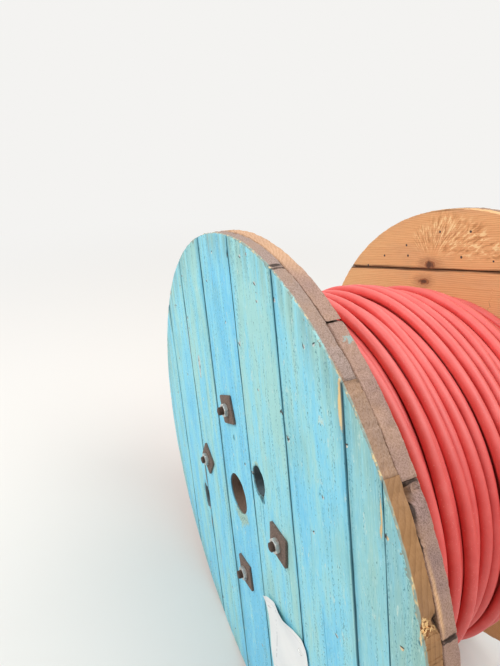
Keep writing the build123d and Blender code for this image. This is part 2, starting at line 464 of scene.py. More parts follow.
def addBoard(name, layer, low, high, marks, cuts):
    radius = flange["radius"]
    gapLow, gapHigh = [flange["jointGap"] * share for share in marks["gaps"]]
    low = low * mm + (gapLow if low * mm > -radius + 1 * mm else 0)
    high = high * mm - (gapHigh if high * mm < radius - 1 * mm else 0)
    face = boardPoints(layer, low, high, marks)
    border = borderOf(*face[0].shape)
    wall = boardWall([values.ravel()[border] for values in face], low, high, marks)
    points = np.concatenate([toWorld(layer, *face).reshape(-1, 3), toWorld(layer, *wall).reshape(-1, 3)])
    rings = np.concatenate([border[None, :], face[0].size + np.arange(wall[0].size).reshape(wall[0].shape)])
    faces = gridFaces(*face[0].shape) + bandFaces(rings) + [rings[-1].tolist()]
    piece = addPiece(name + "_worn", points, faces, layer["look"], [name], flange["sharp"])
    for cut in cuts:
        cutHole(piece, cut, layer["span"])
    dressBoard(piece, layer, low, high, marks, cuts)


def cutHole(piece, cut, span):
    # the cutter is a round bar whose radius wanders with the angle and the depth
    turn = circle(cut["sides"])
    y = np.linspace(*span, 14)[:, None] * mm
    here = stacked(np.cos(turn), np.sin(turn), y * 20)
    wander = ripple(here, 0.9, cut["seed"]) + 0.6 * ripple(here, 0.35, cut["seed"] + 1)
    r = (cut["r"] + cut["ragged"] * wander) * mm
    r = r + cut["tall"] * mm * np.cos(turn - flange["lean"] - math.pi / 2) ** 2
    points = roundPoints(cut["x"] * mm, cut["z"] * mm, r, y, turn)
    cutter = newShape("cutter", points, tubeFaces(*points.shape[:2]))
    modifier = piece.modifiers.new("hole", "BOOLEAN")
    modifier.object, modifier.operation, modifier.solver = cutter, "DIFFERENCE", "EXACT"
    shape = bpy.data.meshes.new_from_object(piece.evaluated_get(bpy.context.evaluated_depsgraph_get()))
    piece.modifiers.clear()
    whole = piece.data
    piece.data = shape
    bpy.data.meshes.remove(whole)
    bpy.data.objects.remove(cutter)
    piece.data.set_sharp_from_angle(angle=math.radians(flange["sharp"]))


def dressBoard(piece, layer, low, high, marks, cuts):
    # what the finish reads at each point: place along the grain, distances to edges, nails and knots
    points = np.empty(len(piece.data.vertices) * 3)
    piece.data.vertices.foreach_get("co", points)
    points = points.reshape(-1, 3)
    a, b, depth = toBoard(layer, points)
    offset = marks["seed"] * 0.731
    toJoint = np.minimum((a - low) / marks["joints"][0], (high - a) / marks["joints"][1])
    # fresh wood: the board's own share, more past an angle of the rim, and in spots
    angle = np.degrees(np.arctan2(points[:, 2] - flange["centre"], points[:, 0]))
    start, full, more = marks["freshSpan"]
    fresh = marks["fresh"] + more * ((angle - start) / (full - start)).clip(0, 1)
    fresh = np.maximum(fresh, patches(a, b, depth, marks["freshSpots"]))
    inHole = 0 * a
    for cut in cuts:
        away = np.hypot(points[:, 0] - cut["x"] * mm, points[:, 2] - cut["z"] * mm)
        inHole = np.maximum(inHole, (away < (cut["r"] + 3) * mm) * (depth > 0.8 * mm) * cut["skipsDepthDark"])
    keepVectors(piece, "place", (a + offset, depth, b + offset * 1.7))
    keepVectors(piece, "edges", (flange["radius"] - np.hypot(a, b), toJoint, depth))
    keepVectors(piece, "toNail", nearest(a, b, marks["nails"]))
    keepVectors(piece, "toKnot", nearest(a, b, marks["knots"]))
    keepVectors(piece, "tone", (marks["tint"] + 0.35 * b, fresh, inHole))
    # worn holds bare, dark and stained spots, and dark is partly dirt, partly painted shade in hollows, chips
    # and joint gaps
    for name, kinds in (("worn", ("bare", "dark", "stain")), ("splash", ("splash", "mould", "crumbs"))):
        keepVectors(piece, name, [patches(a, b, depth, marks[kind]) for kind in kinds])


def nearest(a, b, spots):
    # offset from the nearest spot along that spot's own directions, and its size; far away without spots
    if not spots:
        return a * 0 + 9, a * 0 + 9, a * 0 + mm
    turns = np.radians([s[3] if len(s) > 3 else 0 for s in spots])
    spots = np.array([s[:3] for s in spots]) * mm
    near = np.argmin(np.hypot(a[:, None] - spots[:, 0], b[:, None] - spots[:, 1]), 1)
    x, y, turn = a - spots[near, 0], b - spots[near, 1], turns[near]
    return x * np.cos(turn) + y * np.sin(turn), y * np.cos(turn) - x * np.sin(turn), spots[near, 2]


def patches(a, b, depth, spots):
    # soft ovals, 1 in the middle: each spot is across, along, half width and half length in millimetres,
    # and on the rim also its depth below the face and half its height
    total = 0 * a
    for x, y, wide, long, *rest in spots:
        fall = ((a / mm - x) / wide) ** 2 + ((b / mm - y) / long) ** 2
        if rest:
            fall = fall + ((depth / mm - rest[0]) / rest[1]) ** 2
        total = np.maximum(total, np.exp(-fall))
    return total


# Sawn pine: pale early wood between darker late lines, knots that the grain flows round, and fibres
# that run along the board. Outdoors it greys. The paint is a thin worn coat: chalky, streaked along
# the grain, gone from arrises and round the nails, and dark where dirt lies in joints and cracks.
paintedLook = {
    "painted": True, "weather": 0.85, "wallBrown": 0.5, "ring": 6.5, "sway": 5.0,
    "early": "#BF8F5C", "late": "#946A3D", "knot": "#5F3B25", "grey": "#AA948B", "greyDark": "#836F62",
    "paints": ["#7ED3F5", "#8FDEF6", "#9DE2EE", "#ABE1DE"], "paintGrey": "#8FC6C4", "grimeAndShade": "#2B6676",
}
farLook = {
    "painted": False, "weather": 0.1, "wallBrown": 0.0, "ring": 4.2, "sway": 3.0,
    "early": "#EFC088", "late": "#CC8A50", "knot": "#7A4830", "grey": "#BBA08F", "greyDark": "#8A7362",
    "grimeAndShade": "#5A3822",
}
nearInnerLook = {
    **farLook, "weather": 0.3, "early": "#E2B68C", "late": "#BF8C60", "grey": "#A58881",
    "greyDark": "#7A6256", "grimeAndShade": "#3E2C22",
}


def boardFinish(name, s):
    material, node = newMaterial(name)

    def grainNoise(across, along, detail, rough, offset):
        # noise whose features are so many millimetres across and along the board
        scaled = node("stretch", grain, (1000 / across, 1000 / across, 1000 / along))
        return node("noise", node("move", scaled, (offset, offset, offset)), 1.0, detail, rough)

    def roughen(value, noise, reach, **settings):
        # a value pushed to and fro by noise, by half the reach at most
        return node("+", value, node("*", node("-", noise, 0.5), reach), **settings)

    def over(base, *coats):
        # each coat is where it lies, how much of it, and its colour
        for mask, share, colour in coats:
            base = node("blend", node("*", mask, share), base, colour)
        return base

    def squares(first, second):
        return node("+", node("*", first, first), node("*", second, second))

    place, edges, nail, knot, tone, worn, splash = [
        node("split", node("attribute", attribute_name=field))
        for field in ("place", "edges", "toNail", "toKnot", "tone", "worn", "splash")]
    # round a knot the grain parts like a stream round a post: across less dx r^2 / distance^2
    away2 = squares(knot[0], node("*", knot[1], 0.5))
    size2 = node("*", knot[2], knot[2])
    part = node("/", node("*", knot[0], size2), node("max", away2, node("*", size2, 0.6)))
    grain = node("join", node("-", place[0], part), place[1], place[2])
    knotShare = roughen(node("/", node("root", away2), knot[2]), grainNoise(7, 12, 4, 0.6, 71.9), 1.5)

    fibre = grainNoise(1.3, 34, 4, 0.62, 0.0)
    line = grainNoise(5.5, 160, 3, 0.55, 3.3)
    streak = grainNoise(17, 420, 4, 0.55, 7.1)
    cloud = grainNoise(60, 150, 3, 0.5, 11.7)
    fleck = grainNoise(2.0, 5, 2, 0.5, 21.3)
    grit = grainNoise(1.3, 1.6, 2, 0.6, 31.9)
    scuff = grainNoise(8, 24, 6, 0.72, 51.7)
    onFace = node("step", edges[2], 0.003, 0.0012)
    onWall = node("-", 1.0, onFace)

    # the wood: evenly spaced rings across, warped by noise; on the walls they follow the depth too, so
    # they run along the rim where it is side grain. Knots have rings of their own
    ringPlace = node("+", node("split", grain)[0], node("*", place[1], 0.9))
    evenRings = node("*", ringPlace, 1000 / s["ring"])
    ringLine = node("fraction", roughen(evenRings, grainNoise(45, 500, 2, 0.5, 41.0), s["sway"]))
    lateShare = node("+", node("*", line, 1.2), 0.1)
    lateWood = node("*", node("power", ringLine, 2.2), lateShare, use_clamp=True)
    wood = node("blend", lateWood, s["early"], s["late"])
    wood = over(wood, (node("step", fibre, 0.5, 0.72), 0.35, s["late"]))
    knotColour = node("blend", node("fraction", node("*", knotShare, 4.0)), s["knot"], s["late"])
    wood = node("blend", node("step", knotShare, 1.0, 0.72), wood, knotColour)
    # greying is stronger on the rim and the arrises, which the rain reaches
    greyed = node("blend", node("step", fibre, 0.38, 0.66), s["grey"], s["greyDark"])
    greyed = over(greyed, (node("step", fleck, 0.62, 0.72), 0.32, "#54443B"))
    old = node("*", node("-", 1.0, tone[1]), s["weather"])
    atRim = node("*", node("step", edges[0], 0.016, 0.001), node("-", 0.95, tone[1]))
    old = roughen(node("max", old, atRim, use_clamp=True), cloud, 0.9, use_clamp=True)
    wood = node("blend", old, wood, greyed)
    wood = node("blend", node("*", node("*", onWall, s["wallBrown"]), tone[1]), wood, "#7C5634")
    colour = wood
    bumps = [(node("+", node("*", fibre, 0.6), node("*", line, 0.8)), 0.55)]
    if s["painted"]:
        # soft stripes from sky blue to greenish, with the board's own tint; greyer towards the rim
        # and greyer still on the outermost boards
        blotch = roughen(grainNoise(30, 170, 4, 0.62, 81.3), tone[0], 0.35)
        paint = node("ramp", blotch, stops=[*zip((0.34, 0.46, 0.56, 0.68), s["paints"])])
        nearRim = node("*", node("step", edges[0], 0.075, 0.004), node("step", streak, 0.36, 0.6))
        nearRim = node("max", nearRim, node("*", tone[1], node("step", streak, 0.2, 0.5)))
        rubbed = node("step", grainNoise(1.6, 15, 3, 0.6, 91.1), 0.54, 0.68)
        lines = node("step", grainNoise(6, 230, 3, 0.6, 97.7), 0.53, 0.61)
        specks = node("step", grainNoise(1.5, 4.5, 3, 0.65, 103.1), 0.53, 0.6)
        beside = node("*", node("step", edges[1], 0.012, 0.001), node("step", streak, 0.42, 0.6))
        paint = over(
            paint,
            (node("step", cloud, 0.52, 0.7), 0.35, s["paintGrey"]),
            (nearRim, 0.72, "#92B9AF"),
            # fine streaks of wear, dark lines of specks in the late wood, pale scuffs, scattered specks
            (node("step", fibre, 0.52, 0.7), 0.42, "#62B2C6"),
            (rubbed, 0.45, "#C6EEF2"),
            (node("*", lines, specks), 0.75, "#37788A"),
            (node("step", scuff, 0.6, 0.68), 0.62, "#DDF1E6"),
            (node("step", fleck, 0.68, 0.74), 0.75, "#3E7683"),
            # darker beside the joints, then mould with its specks, and stains
            (beside, 0.5, "#4FA3BC"),
            (node("step", roughen(splash[1], scuff, 2.0), 0.3, 0.6), 0.75, "#B3CDB4"),
            (node("*", node("step", splash[1], 0.3, 0.6), specks), 0.75, "#2F5A60"),
            (node("step", worn[2], 0.25, 0.9), 0.75, "#9A7450"))
        # paint is missing where the arris rubs, wider in its chips, round the nails and in bare patches;
        # the walls have none but where it has run over the arris
        mottle = node("+", node("*", grit, 0.5), node("*", line, 0.5))
        chipped = node("*", node("step", grainNoise(13, 19, 3, 0.6, 61.3), 0.6, 0.68), 0.006)
        rimBare = node("step", node("-", roughen(edges[0], mottle, 0.005), chipped), 0.003, 0.0016)
        deepBare = node("*", node("step", roughen(edges[2], grit, 0.004), 0.002, 0.0034),
                        node("step", roughen(splash[0], scuff, 1.2), 0.6, 0.45))
        # a clenched nail: a narrow dark slit with a pale chip of broken paint along one side
        slit = node("root", squares(node("/", nail[0], 0.0011), node("/", nail[1], nail[2])))
        chip = node("root", squares(node("/", node("-", nail[0], 0.0018), 0.0022),
                                    node("/", node("+", nail[1], 0.001), node("*", nail[2], 0.75))))
        jag = node("*", node("-", grit, 0.5), 1.6)
        nailBare = node("*", node("step", node("+", chip, jag), 1.0, 0.85), onFace)
        nailDark = node("*", node("step", node("+", slit, node("*", jag, 0.5)), 1.1, 0.8), onFace)
        patchBare = node("*", node("step", roughen(worn[0], mottle, 1.3), 0.48, 0.56), onFace)
        fibreBare = node("*", node("step", node("*", line, streak), 0.40, 0.46), 0.5)
        chippedOff = node("max", nailBare, patchBare)
        bare = node("max", node("max", node("max", rimBare, deepBare), chippedOff), fibreBare)
        freshChip = node("blend", node("step", line, 0.45, 0.6), "#F4D194", "#CF9A5A")
        chipWood = node("blend", node("step", grit, 0.4, 0.6), "#E9EDE8", "#A9B6B4")
        chipWood = node("blend", tone[1], chipWood, freshChip)
        arris = node("blend", node("step", grainNoise(9, 26, 3, 0.6, 113.9), 0.53, 0.6), "#8BA69E", "#E4CF9C")
        underPaint = node("blend", chippedOff, wood, chipWood)
        underPaint = over(underPaint, (node("*", rimBare, onFace), 0.85, arris))
        colour = over(node("blend", bare, paint, underPaint), (nailDark, 0.8, "#43555A"))
        bumps += [(node("*", bare, -1.0), 0.5), (node("*", nailDark, -1.0), 0.8)]
    # dirt in the joints and cracks; dark spots, partly dirt and partly painted shade in hollows, chips and
    # joint gaps;
    # painted shade deep in the hollows and in the drive hole, over its teal paint; the walls of the other
    # holes stained and darkened by painted shade; and crumbled wood
    joint = node("step", roughen(edges[1], line, 0.006), 0.0026, 0.0006)
    # dark spots on the face: partly dirt, partly painted shade in hollows
    spots = node("*", node("*", node("step", worn[1], 0.2, 0.8), onFace), 0.93)
    dirtAndShade = node("max", node("*", joint, node("step", edges[0], 0.0, 0.004)), spots)
    # deeper than about 2 to 4 mm and away from the rim the wood darkens: dirt in cracks and joint sides,
    # painted shade in hollows and the drive hole
    inCrack = node("*", node("step", edges[2], 0.0016, 0.004), node("step", edges[0], 0.006, 0.016))
    inCrack = node("*", inCrack, node("-", 1.0, tone[2]))
    dirtAndShade = node("max", dirtAndShade, node("*", inCrack, 0.8 if s["painted"] else 0.0))
    offRim = node("max", onFace, node("step", edges[0], 0.012, 0.02))
    colour = over(
        colour,
        (dirtAndShade, 0.9, node("blend", offRim, "#3B2B20", s["grimeAndShade"])),
        # the walls of the bore and the rod holes darker: partly stain, partly painted shade inside the holes
        (tone[2], 0.5, "#5A4C41"),
        # dark spots on the rim walls: painted shadow in chipped-out recesses and joint gaps
        (node("*", node("step", worn[1], 0.25, 0.7), onWall), 0.9, "#30241D"))
    crumbly = node("step", grainNoise(3.4, 3.4, 3, 0.6, 131.1), 0.46, 0.54)
    crumbs = node("blend", crumbly, "#F1C88C", "#7E4A22")
    colour = node("blend", node("step", roughen(splash[2], scuff, 1.4), 0.4, 0.6), colour, crumbs)
    if not s["painted"]:
        # stray paint on the rim; torn streaks that spread from a knot like a fan, brown and pale: noise
        # over the angle round the knot and the distance from it; then grey-brown round the knots
        fan = node("join", node("*", node("angle", knot[0], knot[1]), 17),
                   node("*", node("root", squares(knot[0], knot[1])), 42))
        spokes = node("noise", fan, 1.0, 4.0, 0.65, 0.6)
        torn = node("step", worn[0], 0.12, 0.7)
        colour = over(
            colour,
            (node("step", roughen(splash[0], scuff, 4.0), 0.75, 1.0), 0.55, "#86BDBD"),
            (node("*", node("step", spokes, 0.49, 0.37), torn), 0.65, "#A8713C"),
            (node("*", node("step", spokes, 0.53, 0.6), torn), 0.95, "#FBE0A6"),
            (node("step", knotShare, 2.6, 0.9), 0.45, "#9A6B4C"),
            (node("step", knotShare, 0.75, 0.35), 0.8, "#4A342C"))
    bumps.append((node("*", node("step", fleck, 0.66, 0.76), -1.0), 0.35))
    rough = node("+", node("*", cloud, 0.2), 0.68)
    inputs = {"Base Color": colour, "Roughness": rough, "Specular IOR Level": 0.35}
    finishMaterial(node, inputs, bumps, 0.6 * mm)
    return material


paintedPine = boardFinish("turquoise paint worn on sawn pine", paintedLook)
farPine = boardFinish("bare sawn pine", farLook)
nearInnerPine = boardFinish("bare sawn pine, greyed at the rim", nearInnerLook)

# face is the side that shows, out its direction along y; crosswise layers lie a quarter turn round.
# Joints and the span of the holes are in millimetres, and numbers name the boards from joint to joint
sevenBoards = [7, 5, 3, 1, 2, 4, 6]
edgeBoard = 11
layers = {
    "near_outer": {
        "face": -288 * mm, "out": -1, "crosswise": False, "step": 3.2 * mm, "along": 4.5 * mm,
        "span": (-300, -240), "joints": [-500, -365.25, -216.75, -68.25, 80.25, 228.75, 377.25, 438.6, 500],
        "numbers": [*sevenBoards, edgeBoard], "look": paintedPine, "slot": "painted_board", "seed": 0},
    "near_inner": {
        "face": -245 * mm, "out": 1, "crosswise": True, "step": 3.6 * mm, "along": 16 * mm,
        "span": (-275, -240), "joints": [-500, -362.75, -214.25, -65.75, 82.75, 231.25, 379.75, 500],
        "numbers": sevenBoards, "look": nearInnerPine, "slot": "weathered_board", "seed": 20},
    "far_inner": {
        "face": 245 * mm, "out": -1, "crosswise": True, "step": 5 * mm, "along": 8 * mm,
        "span": (240, 275), "joints": [-500, -372.25, -223.75, -75.25, 73.25, 221.75, 370.25, 500],
        "numbers": sevenBoards, "look": farPine, "slot": "bare_pine_board", "seed": 30},
    "far_outer": {
        "face": 288 * mm, "out": 1, "crosswise": False, "step": 5 * mm, "along": 8 * mm,
        "span": (260, 296), "joints": [-500, -371.25, -222.75, -74.25, 74.25, 222.75, 371.25, 500],
        "numbers": sevenBoards, "look": paintedPine, "slot": "painted_board", "seed": 40},
}
# clenched nails on the painted face: across, along and half the slit's length
nailPlaces = [
    (4, 467, 3), (78, 462, 4), (127, 458, 4), (152, 463, 3), (172, 420, 5), (231, 403, 4), (-43, 413, 3),
    (-207, 324, 4), (88, 316, 5), (-306, 341, 3), (-210, 415, 3), (-235, 392, 3), (148, 254, 3),
    (35, 347, 3), (174, 395, 3), (222, 243, 5), (226, 241, 4), (239, 206, 5), (235, 208, 4), (290, 92, 3),
    (300, 352, 4), (326, 360, 4), (320, 160, 3), (380, 255, 4), (440, 178, 4), (-295, 342, 4),
    (-270, 178, 4), (86, 84, 5), (54, 87, 3), (-330, 205, 3), (-398, 96, 4), (-402, -60, 4),
    (-438, -120, 3), (-205, 300, 3), (30, -455, 4), (-60, -452, 4), (-135, -428, 4), (-210, -398, 4),
    (-285, -345, 4), (-352, -262, 4), (110, -440, 4), (190, -410, 4), (270, -362, 4), (340, -290, 4),
    (405, -215, 4), (455, -60, 4), (460, 60, 4), (-120, -300, 4), (40, -318, 4), (300, -150, 4),
    (330, -40, 4)]
nails = [(*place, index * 67 % 140 - 70) for index, place in enumerate(nailPlaces)]
# What a board may have of its own, in millimetres and degrees. Across and along come first, then half
# width and half length, in every spot: bare, dark (dirt, and painted shade in hollows, chips and joint gaps)
# and stained, splashed, mouldy and crumbled, and freshly split; a spot on the rim adds its depth and half
# height. Knots have a size. A crack has its place across, both ends, depth and seed. A chip has its angle,
# width, depth, place below the face and height
plainBoard = {
    "tint": 0.5, "fresh": 0.0, "rimSet": 0.0, "gaps": (0.5, 0.5), "joints": (1, 1), "freshSpan": (0, 1, 0),
    "nails": [], "knots": [], "cracks": [], "chips": [], "hollows": [], "bare": [], "dark": [], "stain": [],
    "splash": [], "mould": [], "crumbs": [], "freshSpots": [],
}
# the dark spots in the hollow of board 5 and on the rims of board 2 and the edge board are partly painted
# shade in those recesses
nearOuterMarks = {
    7: {"tint": 0.45, "rimSet": 0.9, "cracks": [(-412, -190, 120, 2.2, 3)]},
    5: {"rimSet": 0.3, "joints": (1, 1.2), "hollows": [(-236, -128, 17, 30, 9)],
        "dark": [(-237, -127, 17, 29)], "stain": [(-222, -68, 5, 40), (-222, -190, 5, 22)],
        "bare": [(-220, 270, 2.4, 80), (-222, -150, 3, 12)], "knots": [(-236, -130, 18), (-330, 110, 11)]},
    3: {"tint": 0.55, "joints": (1, 2.4), "cracks": [(-131, -420, 430, 2.6, 8)],
        "bare": [(-158, 230, 9, 22), (-160, 205, 5, 12)], "dark": [(-156, 222, 4, 5), (-161, 236, 3, 5)],
        "knots": [(-158, 226, 13), (-100, -260, 10)]},
    1: {"tint": 0.2, "rimSet": 0.7, "joints": (2.2, 0.8), "mould": [(0, -47, 27, 17), (25, -41, 14, 15)],
        "dark": [(11, 122, 4, 7), (77, 463, 3, 9), (-66, 472, 5, 5)],
        "knots": [(12, 118, 8), (-30, -330, 10)]},
    2: {"tint": 0.75, "rimSet": 0.1, "joints": (0.8, 0.9), "mould": [(112, 108, 11, 8)],
        "cracks": [(108, 0, 56, 2.4, 4), (119, -25, 54, 3, 5), (200, -120, 10, 1.5, 6)],
        "dark": [(112, 104, 12, 7), (119, 50, 9, 8), (223, 447, 4, 5, 10, 12)], "bare": [(92, 318, 3, 8)],
        "knots": [(160, 330, 9)]},
    4: {"rimSet": 1.3, "joints": (0.9, 1.2), "cracks": [(300, -260, -20, 2, 9)],
        "bare": [(374, 300, 5, 46), (371, 290, 4, 26)], "freshSpots": [(372, 305, 14, 60, 0, 4)],
        "knots": [(318, 160, 6), (330, 250, 8)]},
    6: {"tint": 0.75, "fresh": 0.3, "rimSet": 0.5, "gaps": (0.5, 0.15), "joints": (1.2, 0.35),
        "bare": [(435, 200, 1.7, 26), (433, 178, 1.4, 12)], "freshSpots": [(434, 195, 8, 44, 0, 4)]},
    edgeBoard: {
        "tint": 0.85, "fresh": 0.8, "rimSet": 0.2, "gaps": (0.15, 0.5), "joints": (0.35, 1),
        "bare": [(487, 94, 2.2, 12)], "crumbs": [(489, 105, 10, 12, 9, 12)], "splash": [(494, 76, 8, 9)],
        "dark": [(484, 105, 9, 11, 20.5, 4.5), (485, 88, 2, 3)],
        "chips": [(12.6, 12, 4.5, 9, 7), (12.2, 6, 6, 20, 5)]},
}
# the dark spots on the rims of boards 1 and 2 are painted shadow in the joint gap between them and in the
# chipped-out recesses
nearInnerMarks = {
    1: {"fresh": 0.1, "rimSet": 0.4, "dark": [(81, 493, 1.7, 8, 10, 16)]},
    2: {"fresh": 0.05, "gaps": (1.1, 0.5), "rimSet": 0.2, "freshSpots": [(122, 484, 46, 46, 18.5, 2.2)],
        "dark": [(84, 493, 1.7, 8, 10, 16), (225, 438, 7, 15, 18, 6), (212, 453, 22, 20, 19, 3.2),
                 (186, 464, 26, 24, 21, 2), (229, 444, 3, 4, 8, 11)],
        "chips": [(63.8, 9, 19, 19, 6), (63.4, 7, 5, 8, 5), (68.0, 26, 6, 22, 3.4)]},
    3: {"fresh": 0.1},
    4: {"fresh": 0.1, "splash": [(363, 343, 8, 9, 6, 9)], "rimSet": 0.8,
        "chips": [(56, 5, 2.2, 9, 6), (53.6, 7, 2.8, 14, 5), (51, 5, 2, 7, 5)]},
    5: {"fresh": 0.15},
    6: {"fresh": 0.1, "freshSpan": (80, 88, 0.55), "gaps": (1.0, 0.5)},
    7: {"fresh": 0.2},
}
farInnerKnots = {
    1: [(10, 260, 10)], 2: [(120, 215, 9)], 3: [(-150, -190, 12), (-110, 280, 8)],
    4: [(341, -60, 9), (262, 300, 9)], 5: [(-300, 60, 11)], 6: [(381, -38, 10)], 7: [(-420, -80, 9)],
}
tornPatches = {6: [(448, 14, 44, 62), (432, 76, 40, 44), (440, -52, 30, 34), (412, 128, 20, 30)]}


def farNails():
    # nails in two uneven rings, and the ones near the top one by one
    draw = np.random.default_rng(31)
    spots = [(-111, 426), (-260, 375), (-192, 401), (-107, 401), (-6, 453), (75, 450), (51, 398)]
    for reach, count in ((450, 26), (402, 15)):
        turn = np.arange(count) * 2 * math.pi / count + draw.uniform(-0.05, 0.05, count)
        away = reach + draw.uniform(-9, 9, count)
        spots += [(float(r * math.cos(w)), float(r * math.sin(w))) for r, w in zip(away, turn)
                  if not 1.35 < w < 2.25]
    return [(*spot, 4, index * 53 % 150 - 75) for index, spot in enumerate(spots)]


farSpots = farNails()


def nailsOf(low, high, spots):
    # the nails of one board, kept clear of its joints
    return [(min(max(n[0], low + 3), high - 3), *n[1:]) for n in spots if low <= n[0] < high]


def marksOf(layerName, number, low, high):
    # what one board has of its own, over what every board has
    seed = layers[layerName]["seed"] + number
    usual = {**plainBoard, "seed": seed, "tint": 0.2 + 0.1 * (number * 3 % 7), "fresh": 0.25}
    if layerName == "near_outer":
        return {**plainBoard, "seed": seed, "nails": nailsOf(low, high, nails), **nearOuterMarks[number]}
    if layerName == "near_inner":
        return {**usual, **nearInnerMarks[number]}
    if layerName == "far_inner":
        return {**usual, "fresh": 0.8, "joints": (2.2, 2.2), "knots": farInnerKnots[number],
                "bare": tornPatches.get(number, [])}
    crack = ((low + high) / 2 + 9 * (number % 3), -230 + 50 * number, -60 + 50 * number, 1.6, number)
    return {**usual, "nails": nailsOf(low, high, farSpots), "knots": [(low + 60, 190 - 97 * number, 9)],
            "cracks": [crack]}


def cutsOf(layerName, number, low, high):
    # the bore, the drive hole in the near flange, and the rods that pass between this board's joints
    crosswise = layers[layerName]["crosswise"]
    holes = [spindle] if number == 1 else []
    if layerName in ("near_outer", "near_inner") and number in ((1, 2) if crosswise else (2,)):
        holes.append(drive)
    rodHoles = []
    for turn in rods["turns"]:
        fromLean = math.radians(turn) - flange["lean"]
        across = math.sin(fromLean) if crosswise else math.cos(fromLean)
        if low < rods["circle"] * across < high:
            x, z = [rods["circle"] * way(math.radians(turn)) for way in (math.cos, math.sin)]
            rodHoles.append({**rods["cut"], "x": x, "z": flange["centre"] / mm + z})
    return holes + rodHoles if layerName == "near_outer" else rodHoles + holes


for layerName, layer in layers.items():
    for number, low, high in zip(layer["numbers"], layer["joints"], layer["joints"][1:]):
        boardName = f"{layerName}_edge_board" if number == edgeBoard else f"{layerName}_board_{number}"
        addBoard(boardName, layer, low, high, marksOf(layerName, number, low, high),
                 cutsOf(layerName, number, low, high))
    print(layerName, "done")

print("cable")
cable = {
    "diameter": 19.5 * mm,
    "layers": 6,
    "turns": 29,
    "bore": 250.3 * mm,
    "halfWidth": 244.7 * mm,
    "fullest": -40 * mm,
    "fall": 52 * mm,
    "steps": 180,
    "sides": 14,
    "crossFrom": 200,
    "crossShare": 0.2,
    "dip": 18 * mm,
    "least": 0.6,
    # turns bunch in a wave over the width: how far, from where, and its length
    "bunch": (4.4 * mm, 46 * mm, 134 * mm),
    # what pushes them to and fro: (millimetres, length in metres, times round, sway round, phase)
    "waves": [(3.0, 0.115, 0, 0.8, 0.4), (1.7, 0.071, -1, 0, 2.0), (3.2, 0.23, 2, 0, 0.0),
              (1.1, 0.043, 3, 0, 1.0)],
    "waver": 0.5 * mm,
    "innerSteps": 96,
    "innerSides": 8,
    "groove": 3 * mm,
    "layReach": 360 * mm,
    "layRound": 70 * mm,
}


def sheathFinish():
    # extruded polyethylene sheath, matt: even colour, a slight bloom of dust, fine draw lines along it
    material, node = newMaterial("matt coral polyethylene sheath")
    drawn = node("stretch", node("attribute", attribute_name="lay"), (6, 160, 1))
    lines = node("noise", drawn, 1.0, 3.0)
    place = node("coordinates")
    dust = node("noise", place, 22.0, 5.0, 0.6)
    scuff = node("noise", place, 420.0, 2.0)
    colour = node("ramp", dust, stops=[(0.3, "#D54945"), (0.52, "#DE534E"), (0.74, "#E5645F")])
    colour = node("blend", node("*", node("step", scuff, 0.66, 0.74), 0.35), colour, "#F6A9A2")
    # dust lies where the sheath faces up, and the paler pink there is also a painted highlight of the light
    # from above
    facing = node("split", node("geometry"))[2]
    colour = node("blend", node("range", facing, 0.45, 1.0, 0.0, 0.3), colour, "#F29C97")
    rough = node("range", dust, 0.0, 1.0, 0.42, 0.6)
    bumps = [(lines, 0.12), (scuff, 0.05)]
    finishMaterial(node, {"Base Color": colour, "Roughness": rough, "IOR": 1.5}, bumps, 0.6 * mm)
    return material


def ringsAlong(centre, sides, radius, outward, sideways):
    # a circle at each point of a path, in the plane of that point's outward and sideways directions
    turn = circle(sides)[..., None]
    off = np.cos(turn) * outward[:, None, :] + np.sin(turn) * sideways[:, None, :]
    return centre[:, None, :] + radius * off


def strandAlong(centre, sides, radius, aside):
    # a thin round strand whose circles stand square to its path
    tangent = np.gradient(centre, axis=0)
    tangent /= np.linalg.norm(tangent, axis=1)[:, None]
    outward = np.cross(tangent, aside)
    outward /= np.linalg.norm(outward, axis=1)[:, None]
    return ringsAlong(centre, sides, radius, outward, np.cross(outward, tangent))


def lowTurns(s, y):
    # radius of the low turns: the full radius, less the fall times the squared share of the way
    # from the fullest place to the far flange
    full = s["bore"] + s["diameter"] * (1 + (s["layers"] - 1) * math.sqrt(3) / 2)
    away = (y - s["fullest"]) / (s["halfWidth"] - s["fullest"])
    return full - s["fall"] * away ** 2


def eased(share):
    # 0 to 1 with a level start and end
    return share * share * (3 - 2 * share)


def spreadTurns(s, angle):
    # rows are turns and columns angles. The turns lie closer in some places over the width than in
    # others; each crosses over from the place before its own, then runs along its own, pushed to and fro
    # by waves that fade out at the flanges
    count, least = s["turns"], s["least"] * s["diameter"]
    push, place, length = s["bunch"]
    reach = s["halfWidth"] - s["diameter"] / 2
    even = np.linspace(-reach, reach, count)
    homes = even + push * np.sin(2 * math.pi * (even + place) / length) * (1 - (even / reach) ** 8)
    before = np.concatenate([2 * homes[:1] - homes[1:2], homes[:-1]])
    crossed = eased((np.arange(len(angle)) / len(angle) / s["crossShare"]).clip(0, 1))
    y = homes[:, None] - (homes - before)[:, None] * (1 - crossed)[None, :]
    fade = 1 - np.abs(y / reach).clip(0, 1) ** 6
    waves = sum(size * np.sin(2 * math.pi * y / length + (times * angle + sway * np.sin(angle)) + phase)
                for size, length, times, sway, phase in s["waves"])
    y = y + fade * waves * mm
    for k in range(count):
        y[k] = np.maximum(y[k], y[k - 1] + least if k else -reach)
    for k in reversed(range(count)):
        y[k] = np.minimum(y[k], y[k + 1] - least if k + 1 < count else reach)
    return y


def smoothRun(values, width):
    # a run of values averaged over its neighbours with a bell-shaped weight
    bell = np.hanning(width)
    return np.convolve(np.pad(values, width // 2, mode="edge"), bell / bell.sum(), "valid")


